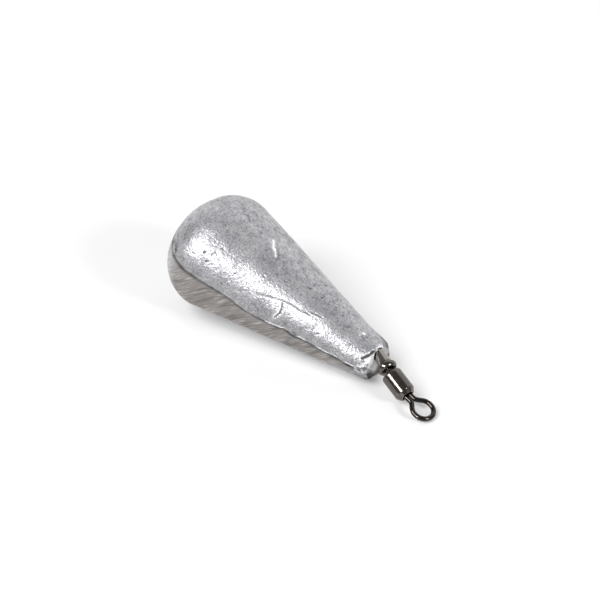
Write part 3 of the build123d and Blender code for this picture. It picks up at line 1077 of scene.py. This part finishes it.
def studio_world():
    """White for the camera; for the light, a pale wall behind and darker overhead and in front."""
    world = bpy.data.worlds.new("studio")
    world.use_nodes = True
    tree = world.node_tree
    tree.nodes.clear()
    way = add_node(tree, "ShaderNodeTexCoord").outputs["Generated"]
    up = add_node(tree, "ShaderNodeSeparateXYZ", {"Vector": way}).outputs["Z"]
    dome = add_node(tree, "ShaderNodeValToRGB", {"Fac": up})
    tones = dome.color_ramp
    tones.elements[0].position, tones.elements[0].color = 0.0, (1.0, 1.0, 1.0, 1.0)
    tones.elements[1].position, tones.elements[1].color = 0.95, (0.95, 0.95, 0.955, 1.0)
    behind = add_node(tree, "ShaderNodeVectorMath", {0: way, 1: WALL_SIDE}, operation="DOT_PRODUCT")
    wall = spread(tree, behind.outputs["Value"], 0.38, 0.55, 0.25, 1.15)
    light = add_node(tree, "ShaderNodeBackground", {"Color": dome.outputs["Color"], "Strength": wall})
    white = add_node(tree, "ShaderNodeBackground", {"Color": (1.0, 1.0, 1.0, 1.0), "Strength": 1.0})
    camera = add_node(tree, "ShaderNodeLightPath").outputs["Is Camera Ray"]
    chosen = add_node(tree, "ShaderNodeMixShader", {0: camera})
    tree.links.new(light.outputs["Background"], chosen.inputs[1])
    tree.links.new(white.outputs["Background"], chosen.inputs[2])
    output = add_node(tree, "ShaderNodeOutputWorld")
    tree.links.new(chosen.outputs["Shader"], output.inputs["Surface"])
    return world


# Geometry node trees for the pieces that follow a turned outline or a path

def new_tree(name, inputs):
    """A geometry node tree with a mesh in, a mesh out and named inputs."""
    tree = bpy.data.node_groups.new(name, "GeometryNodeTree")
    tree.interface.new_socket("Geometry", in_out="INPUT", socket_type="NodeSocketGeometry")
    for label, kind, value in inputs:
        socket = tree.interface.new_socket(label, in_out="INPUT", socket_type=kind)
        if value is not None:
            socket.default_value = value
    tree.interface.new_socket("Geometry", in_out="OUTPUT", socket_type="NodeSocketGeometry")
    return tree, tree.nodes.new("NodeGroupInput"), tree.nodes.new("NodeGroupOutput")


def close_tree(tree, source, output, geometry):
    """Ends a tree: smooth faces, real geometry, one material."""
    smooth = add_node(tree, "GeometryNodeSetShadeSmooth", {"Geometry": geometry})
    real = add_node(tree, "GeometryNodeRealizeInstances", {"Geometry": smooth.outputs["Geometry"]})
    finish = add_node(
        tree, "GeometryNodeSetMaterial",
        {"Geometry": real.outputs["Geometry"], "Material": source.outputs["Finish"]},
    )
    tree.links.new(finish.outputs["Geometry"], output.inputs["Geometry"])


def turning_tree():
    """Turns an outline, drawn as X along the axis and Y as the radius, about the X axis."""
    tree, source, output = new_tree("turned_piece", [
        ("Steps Along", "NodeSocketInt", 300),
        ("Steps Around", "NodeSocketInt", 96),
        ("Finish", "NodeSocketMaterial", None),
    ])
    outline = add_node(tree, "GeometryNodeMeshToCurve", {"Mesh": source.outputs["Geometry"]})
    grid = add_node(tree, "GeometryNodeMeshGrid", {
        "Size X": 1.0, "Size Y": 1.0,
        "Vertices X": source.outputs["Steps Along"], "Vertices Y": source.outputs["Steps Around"],
    })
    where = add_node(tree, "ShaderNodeSeparateXYZ", {
        "Vector": add_node(tree, "GeometryNodeInputPosition").outputs["Position"]})
    sample = add_node(tree, "GeometryNodeSampleCurve", {
        "Curves": outline.outputs["Curve"],
        "Factor": calc(tree, "ADD", where.outputs["X"], 0.5),
    }, mode="FACTOR", use_all_curves=True)
    at = add_node(tree, "ShaderNodeSeparateXYZ", {"Vector": sample.outputs["Position"]})
    turn = calc(tree, "MULTIPLY", calc(tree, "ADD", where.outputs["Y"], 0.5), math.tau)
    round_it = add_node(tree, "ShaderNodeCombineXYZ", {
        "X": at.outputs["X"],
        "Y": calc(tree, "MULTIPLY", at.outputs["Y"], calc(tree, "COSINE", turn)),
        "Z": calc(tree, "MULTIPLY", at.outputs["Y"], calc(tree, "SINE", turn)),
    })
    turned = add_node(tree, "GeometryNodeSetPosition", {
        "Geometry": grid.outputs["Mesh"], "Position": round_it.outputs["Vector"]})
    closed = add_node(tree, "GeometryNodeMergeByDistance", {
        "Geometry": turned.outputs["Geometry"], "Distance": 0.000001})
    close_tree(tree, source, output, closed.outputs["Geometry"])
    return tree


def wire_tree():
    """Runs round wire along a path and adds the round head at its foot."""
    tree, source, output = new_tree("wire_eye", [
        ("Wire Radius", "NodeSocketFloat", 0.0004),
        ("Wire Steps", "NodeSocketInt", 24),
        ("Head Radius", "NodeSocketFloat", 0.00125),
        ("Head Thickness", "NodeSocketFloat", 0.0005),
        ("Head Place", "NodeSocketFloat", -0.001),
        ("Finish", "NodeSocketMaterial", None),
    ])
    path = add_node(tree, "GeometryNodeMeshToCurve", {"Mesh": source.outputs["Geometry"]})
    section = add_node(tree, "GeometryNodeCurvePrimitiveCircle", {
        "Resolution": source.outputs["Wire Steps"], "Radius": source.outputs["Wire Radius"]})
    wire = add_node(tree, "GeometryNodeCurveToMesh", {
        "Curve": path.outputs["Curve"], "Profile Curve": section.outputs["Curve"], "Fill Caps": True})
    disc = add_node(tree, "GeometryNodeMeshCylinder", {
        "Vertices": 48, "Radius": source.outputs["Head Radius"], "Depth": source.outputs["Head Thickness"]})
    place = add_node(tree, "ShaderNodeCombineXYZ", {"X": source.outputs["Head Place"]})
    head = add_node(tree, "GeometryNodeTransform", {
        "Geometry": disc.outputs["Mesh"], "Translation": place.outputs["Vector"],
        "Rotation": (0.0, math.pi / 2, 0.0)})
    both = add_node(tree, "GeometryNodeJoinGeometry")
    tree.links.new(wire.outputs["Mesh"], both.inputs["Geometry"])
    tree.links.new(head.outputs["Geometry"], both.inputs["Geometry"])
    close_tree(tree, source, output, both.outputs["Geometry"])
    return tree


def burr_tree():
    """Sets small torn scraps of lead along paths, each turned and sized at random."""
    tree, source, output = new_tree("edge_burrs", [
        ("Spacing", "NodeSocketFloat", 0.0003),
        ("Smallest", "NodeSocketFloat", 0.00006),
        ("Largest", "NodeSocketFloat", 0.00016),
        ("Seed", "NodeSocketInt", 4),
        ("Finish", "NodeSocketMaterial", None),
    ])
    path = add_node(tree, "GeometryNodeMeshToCurve", {"Mesh": source.outputs["Geometry"]})
    dots = add_node(tree, "GeometryNodeCurveToPoints", {
        "Curve": path.outputs["Curve"], "Length": source.outputs["Spacing"]}, mode="LENGTH")
    scrap = add_node(tree, "GeometryNodeMeshIcoSphere", {"Radius": 1.0, "Subdivisions": 2})
    size = add_node(tree, "FunctionNodeRandomValue", data_type="FLOAT")
    tree.links.new(source.outputs["Smallest"], size.inputs[2])
    tree.links.new(source.outputs["Largest"], size.inputs[3])
    tree.links.new(source.outputs["Seed"], size.inputs["Seed"])
    shape = add_node(tree, "ShaderNodeCombineXYZ", {
        "X": calc(tree, "MULTIPLY", size.outputs[1], 0.6),
        "Y": calc(tree, "MULTIPLY", size.outputs[1], 0.8),
        "Z": calc(tree, "MULTIPLY", size.outputs[1], 2.4),
    })
    placed = add_node(tree, "GeometryNodeInstanceOnPoints", {
        "Points": dots.outputs["Points"], "Instance": scrap.outputs["Mesh"],
        "Rotation": dots.outputs["Rotation"], "Scale": shape.outputs["Vector"]})
    close_tree(tree, source, output, placed.outputs["Instances"])
    return tree


def grown(name, tree, points, runs, values):
    """A plain mesh from a node tree run on paths of points; values are set by the inputs' names."""
    base = bpy.data.meshes.new(name + "_path")
    edges = [(i, i + 1) for first, last in runs for i in range(first, last)]
    base.from_pydata([tuple(p) for p in points], edges, [])
    holder = bpy.data.objects.new(name + "_holder", base)
    bpy.context.collection.objects.link(holder)
    modifier = holder.modifiers.new(name, "NODES")
    modifier.node_group = tree
    for item in tree.interface.items_tree:
        if item.item_type == "SOCKET" and item.in_out == "INPUT" and item.name in values:
            modifier[item.identifier] = values[item.name]
    bpy.context.view_layer.update()
    depsgraph = bpy.context.evaluated_depsgraph_get()
    mesh = bpy.data.meshes.new_from_object(holder.evaluated_get(depsgraph), depsgraph=depsgraph)
    holder.modifiers.remove(modifier)
    bpy.data.objects.remove(holder)
    bpy.data.meshes.remove(base)
    if not mesh.polygons:
        raise RuntimeError(f"the node tree made no faces for {name}")
    return mesh


def outward(mesh):
    """Turns all faces outwards."""
    shell = bmesh.new()
    shell.from_mesh(mesh)
    bmesh.ops.recalc_face_normals(shell, faces=shell.faces)
    shell.to_mesh(mesh)
    shell.free()


def add_piece(name, mesh, body, replaces=None):
    """Links a finished mesh as a piece that rides on a body."""
    mesh.name = name
    piece = bpy.data.objects.new(name, mesh)
    bpy.context.collection.objects.link(piece)
    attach(piece, body)
    if replaces:
        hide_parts(replaces)
    return piece


def arc(middle, radius, start, stop, count):
    """Points of an arc in the XY plane."""
    turn = np.linspace(start, stop, count)
    return [(middle[0] + radius * math.cos(t), middle[1] + radius * math.sin(t), 0.0) for t in turn]


def turned_piece(name, outline, place, finish, settings):
    """Mesh of an outline, in millimetres, turned about its axis and put in its place."""
    points = [(x * MM, r * MM, 0.0) for x, r in outline]
    tree = bpy.data.node_groups.get("turned_piece") or turning_tree()
    mesh = grown(name, tree, points, [(0, len(points) - 1)], {
        "Steps Along": settings.along, "Steps Around": settings.around + 1, "Finish": finish})
    outward(mesh)
    at = place.copy()
    at.translation *= MM
    mesh.transform(at)
    return mesh


class SINKER_OT_lead_casting(bpy.types.Operator):
    """Cast the lead drop with its ground strips, pits and creases"""

    bl_idname = "sinker.lead_casting"
    bl_label = "Lead casting"

    def execute(self, context):
        c = millimetres(context.scene.sinker.casting)
        grid = casting_grid(c)
        mesh = casting_mesh(c, grid)
        outward(mesh)
        wear_casting(mesh, c, grid)
        mesh.transform(lying_down(c))
        points = point_array(mesh)
        points[:, 2] = np.maximum(points[:, 2], 0.0)
        mesh.vertices.foreach_set("co", (points * MM).astype(np.float32).ravel())
        mesh.set_sharp_from_angle(angle=SHARP_ANGLE)
        mesh.update()
        mesh.materials.append(cast_lead(c))
        mesh.materials.append(ground_lead(c))
        add_piece("lead_casting", mesh, "sinker", "lead_body")
        return {"FINISHED"}


class SINKER_OT_edge_burrs(bpy.types.Operator):
    """Leave torn scraps along the ground strip's upper edge"""

    bl_idname = "sinker.edge_burrs"
    bl_label = "Edge burrs"

    def execute(self, context):
        c = millimetres(context.scene.sinker.casting)
        grid = casting_grid(c)
        edge = near_edge(c, grid)
        place = lying_down(c)
        points, runs = [], []
        for start, stop in BURR_RUNS:
            chosen = np.flatnonzero((grid.x > start) & (grid.x < stop))
            first = len(points)
            points += [tuple((place @ Vector(edge[i])) * MM) for i in chosen]
            runs.append((first, len(points) - 1))
        material = bpy.data.materials["cast_lead"].copy()
        material.name = "torn_lead"
        mesh = grown("edge_burrs", burr_tree(), points, runs, {"Finish": material})
        add_piece("edge_burrs", mesh, "sinker")
        return {"FINISHED"}


class SINKER_OT_swivel_neck(bpy.types.Operator):
    """Turn the swivel's neck: cone, bead, spindle and head"""

    bl_idname = "sinker.swivel_neck"
    bl_label = "Swivel neck"

    def execute(self, context):
        settings = context.scene.sinker
        c, w = millimetres(settings.casting), millimetres(settings.swivel)
        half = w.bead_length / 2
        head = half + w.groove_width + w.barrel_rim + w.head_clearance
        sag = w.bead_radius - w.bead_edge_radius
        bow = (half**2 + sag**2) / (2 * sag)
        spread_angle = math.asin(half / bow)
        bead = arc(
            (0.0, w.bead_radius - bow), bow, math.pi / 2 + spread_angle, math.pi / 2 - spread_angle, 24)
        outline = [
            (-half - w.cone_length, 0.0),
            (-half - w.cone_length, w.cone_small_radius),
            (-half, w.cone_large_radius),
            *[p[:2] for p in bead],
            (half, w.spindle_radius),
            (head, w.spindle_radius),
            (head, w.neck_head_radius),
            (head + w.neck_head_thickness, w.neck_head_radius),
            (head + w.neck_head_thickness, 0.0),
        ]
        finish = black_nickel(
            settings.swivel, "black_nickel", 420.0, settings.swivel.nickel, settings.swivel.worn_nickel_and_sheen)
        place = swivel_places(c, w)[0]
        mesh = turned_piece("swivel_neck", outline, place, finish, settings)
        along = (point_array(mesh) / MM - np.array(place.translation)) @ np.array(place.to_3x3().col[0])
        # The whole cone is painted lighter as a sheen
        add_mask(mesh, "cone_sheen", np.clip((-half - along) / 0.3, 0.0, 1.0))
        add_piece("turned_neck", mesh, "sinker", "swivel_neck")
        return {"FINISHED"}


class SINKER_OT_swivel_barrel(bpy.types.Operator):
    """Turn the swivel's hollow barrel"""

    bl_idname = "sinker.swivel_barrel"
    bl_label = "Swivel barrel"

    def execute(self, context):
        settings = context.scene.sinker
        c, w = millimetres(settings.casting), millimetres(settings.swivel)
        face, back = -w.barrel_rim / 2, w.barrel_rim / 2
        end = face + w.barrel_length
        rim_hole = w.spindle_radius + w.hole_clearance
        end_hole = 2 * w.wire_radius + w.leg_gap / 2 + w.hole_clearance
        corner = (face + w.barrel_rim_round, w.barrel_radius - w.barrel_rim_round)
        rim = arc(corner, w.barrel_rim_round, math.pi, math.pi / 2, 10)
        outline = [
            *[p[:2] for p in rim],
            (end - w.barrel_chamfer_length, w.barrel_radius),
            (end, w.barrel_radius - w.barrel_chamfer_depth),
            (end, end_hole),
            (end - w.barrel_end, end_hole),
            (end - w.barrel_end, w.barrel_cavity_radius),
            (back, w.barrel_cavity_radius),
            (back, rim_hole),
            (face, rim_hole),
            rim[0][:2],
        ]
        finish = bpy.data.materials["black_nickel"]
        mesh = turned_piece("swivel_barrel", outline, swivel_places(c, w)[1], finish, settings)
        add_piece("turned_barrel", mesh, "barrel", "swivel_barrel")
        return {"FINISHED"}


class SINKER_OT_wire_eyes(bpy.types.Operator):
    """Bend the line eye, and plate the anchor eye inside the lead"""

    bl_idname = "sinker.wire_eyes"
    bl_label = "Wire eyes"

    def execute(self, context):
        settings = context.scene.sinker
        c, w = millimetres(settings.casting), millimetres(settings.swivel)
        offset = w.wire_radius + w.leg_gap / 2
        half_angle = w.loop_half_angle
        corner = w.barrel_end / 2 + w.leg_length
        bend_run = w.leg_bend_radius * math.tan(half_angle / 2)
        bow_x = corner + (w.loop_radius * math.cos(half_angle) - offset) / math.tan(half_angle)
        bow_x += w.loop_radius * math.sin(half_angle)
        head_face = -w.barrel_end / 2 - w.head_clearance
        head_place = head_face - w.line_head_thickness / 2
        bend = arc(
            (corner - bend_run, offset + w.leg_bend_radius), w.leg_bend_radius,
            -math.pi / 2, half_angle - math.pi / 2, 12,
        )
        bow = arc((bow_x, 0.0), w.loop_radius, math.pi / 2 + half_angle, -math.pi / 2 - half_angle, 72)
        half_path = [(head_place, offset, 0.0), *bend]
        path = half_path + bow + [(x, -y, z) for x, y, z in reversed(half_path)]
        finish = black_nickel(
            settings.swivel, "nickel_wire", 520.0, settings.swivel.wire_nickel, settings.swivel.nickel)
        mesh = grown("line_eye", wire_tree(), np.array(path) * MM, [(0, len(path) - 1)], {
            "Wire Radius": w.wire_radius * MM,
            "Head Radius": w.line_head_radius * MM,
            "Head Thickness": w.line_head_thickness * MM,
            "Head Place": head_place * MM,
            "Finish": finish,
        })
        outward(mesh)
        at = swivel_places(c, w)[2]
        at.translation *= MM
        mesh.transform(at)
        add_piece("bent_line_eye", mesh, "eye", "line_eye")
        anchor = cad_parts["anchor_eye"]
        anchor.data.materials.clear()
        anchor.data.materials.append(finish)
        return {"FINISHED"}


class SINKER_OT_stage(bpy.types.Operator):
    """Lay the white floor and set the lamps and the camera"""

    bl_idname = "sinker.stage"
    bl_label = "Stage"

    def execute(self, context):
        scene = context.scene
        s = scene.sinker.stage
        scene.view_settings.view_transform = "Standard"
        half = s.floor_size / 2
        mesh = bpy.data.meshes.new("studio_floor")
        corners = [(-half, -half, 0), (half, -half, 0), (half, half, 0), (-half, half, 0)]
        mesh.from_pydata(corners, [], [(0, 1, 2, 3)])
        mesh.transform(Matrix.Translation((0.0, 0.0, -FLOOR_DROP)))
        floor = bpy.data.objects.new("studio_floor", mesh)
        context.collection.objects.link(floor)
        mesh.materials.append(floor_paper(s))
        scene.world = studio_world()
        key = self.lamp(context, "key_lamp", (-52.0, 41.0), 1.0, (1.1, 0.26), s.key_energy)
        key.visible_diffuse = False
        wide = self.lamp(context, "floor_lamp", (-65.0, 50.0), 1.2, (0.8, 0.8), s.floor_energy)
        wide.visible_glossy = False
        self.lamp(context, "side_lamp", (54.0, 32.0), 1.0, (0.25, 0.25), s.side_energy)
        self.camera(context, s)
        return {"FINISHED"}

    def lamp(self, context, name, direction, distance, size, energy):
        """A rectangular lamp; its direction is degrees right of the camera and above the floor."""
        data = bpy.data.lights.new(name, "AREA")
        data.shape = "RECTANGLE"
        data.size, data.size_y = size
        data.energy = energy
        lamp = bpy.data.objects.new(name, data)
        context.collection.objects.link(lamp)
        side, rise = (math.radians(a) for a in direction)
        azimuth = math.radians(CAMERA_AZIMUTH) + side
        away = Vector((
            math.sin(azimuth) * math.cos(rise), -math.cos(azimuth) * math.cos(rise), math.sin(rise)))
        lamp.location = away * distance + Vector(LAMP_AIM)
        lamp.rotation_mode = "QUATERNION"
        lamp.rotation_quaternion = away.to_track_quat("Z", "Y")
        lamp.visible_camera = False
        return lamp

    def camera(self, context, s):
        """The camera at the photograph's angle."""
        data = bpy.data.cameras.new("camera")
        data.lens = s.camera_lens
        data.sensor_width = 36.0
        data.shift_x, data.shift_y = CAMERA_SHIFT
        data.clip_start, data.clip_end = 0.01, 10.0
        camera = bpy.data.objects.new("camera", data)
        context.collection.objects.link(camera)
        camera.location = CAMERA_PLACE
        camera.rotation_mode = "QUATERNION"
        camera.rotation_quaternion = (Vector(CAMERA_PLACE) - Vector(CAMERA_AIM)).to_track_quat("Z", "Y")
        context.scene.camera = camera


class SINKER_PT_panel(bpy.types.Panel):
    """Sidebar panel that lists the sinker's pieces"""

    bl_idname = "SINKER_PT_panel"
    bl_label = "Cast lead sinker"
    bl_space_type = "VIEW_3D"
    bl_region_type = "UI"
    bl_category = "Sinker"

    def draw(self, context):
        for operator in OPERATORS:
            self.layout.operator(operator.bl_idname)
        for group in ("casting", "swivel", "stage"):
            settings = getattr(context.scene.sinker, group)
            box = self.layout.box()
            for name, prop in settings.bl_rna.properties.items():
                if prop.is_runtime:
                    box.prop(settings, name)


GROUPS = (CastingSettings, SwivelSettings, StageSettings, SinkerSettings)
OPERATORS = (
    SINKER_OT_lead_casting, SINKER_OT_edge_burrs, SINKER_OT_swivel_neck,
    SINKER_OT_swivel_barrel, SINKER_OT_wire_eyes, SINKER_OT_stage,
)


def register():
    for cls in (*GROUPS, *OPERATORS, SINKER_PT_panel):
        bpy.utils.register_class(cls)
    bpy.types.Scene.sinker = PointerProperty(type=SinkerSettings)


def unregister():
    del bpy.types.Scene.sinker
    for cls in reversed((*GROUPS, *OPERATORS, SINKER_PT_panel)):
        bpy.utils.unregister_class(cls)


def main():
    register()
    bpy.ops.sinker.lead_casting()
    bpy.ops.sinker.edge_burrs()
    bpy.ops.sinker.swivel_neck()
    bpy.ops.sinker.swivel_barrel()
    bpy.ops.sinker.wire_eyes()
    bpy.ops.sinker.stage()


if __name__ == "__main__":
    main()
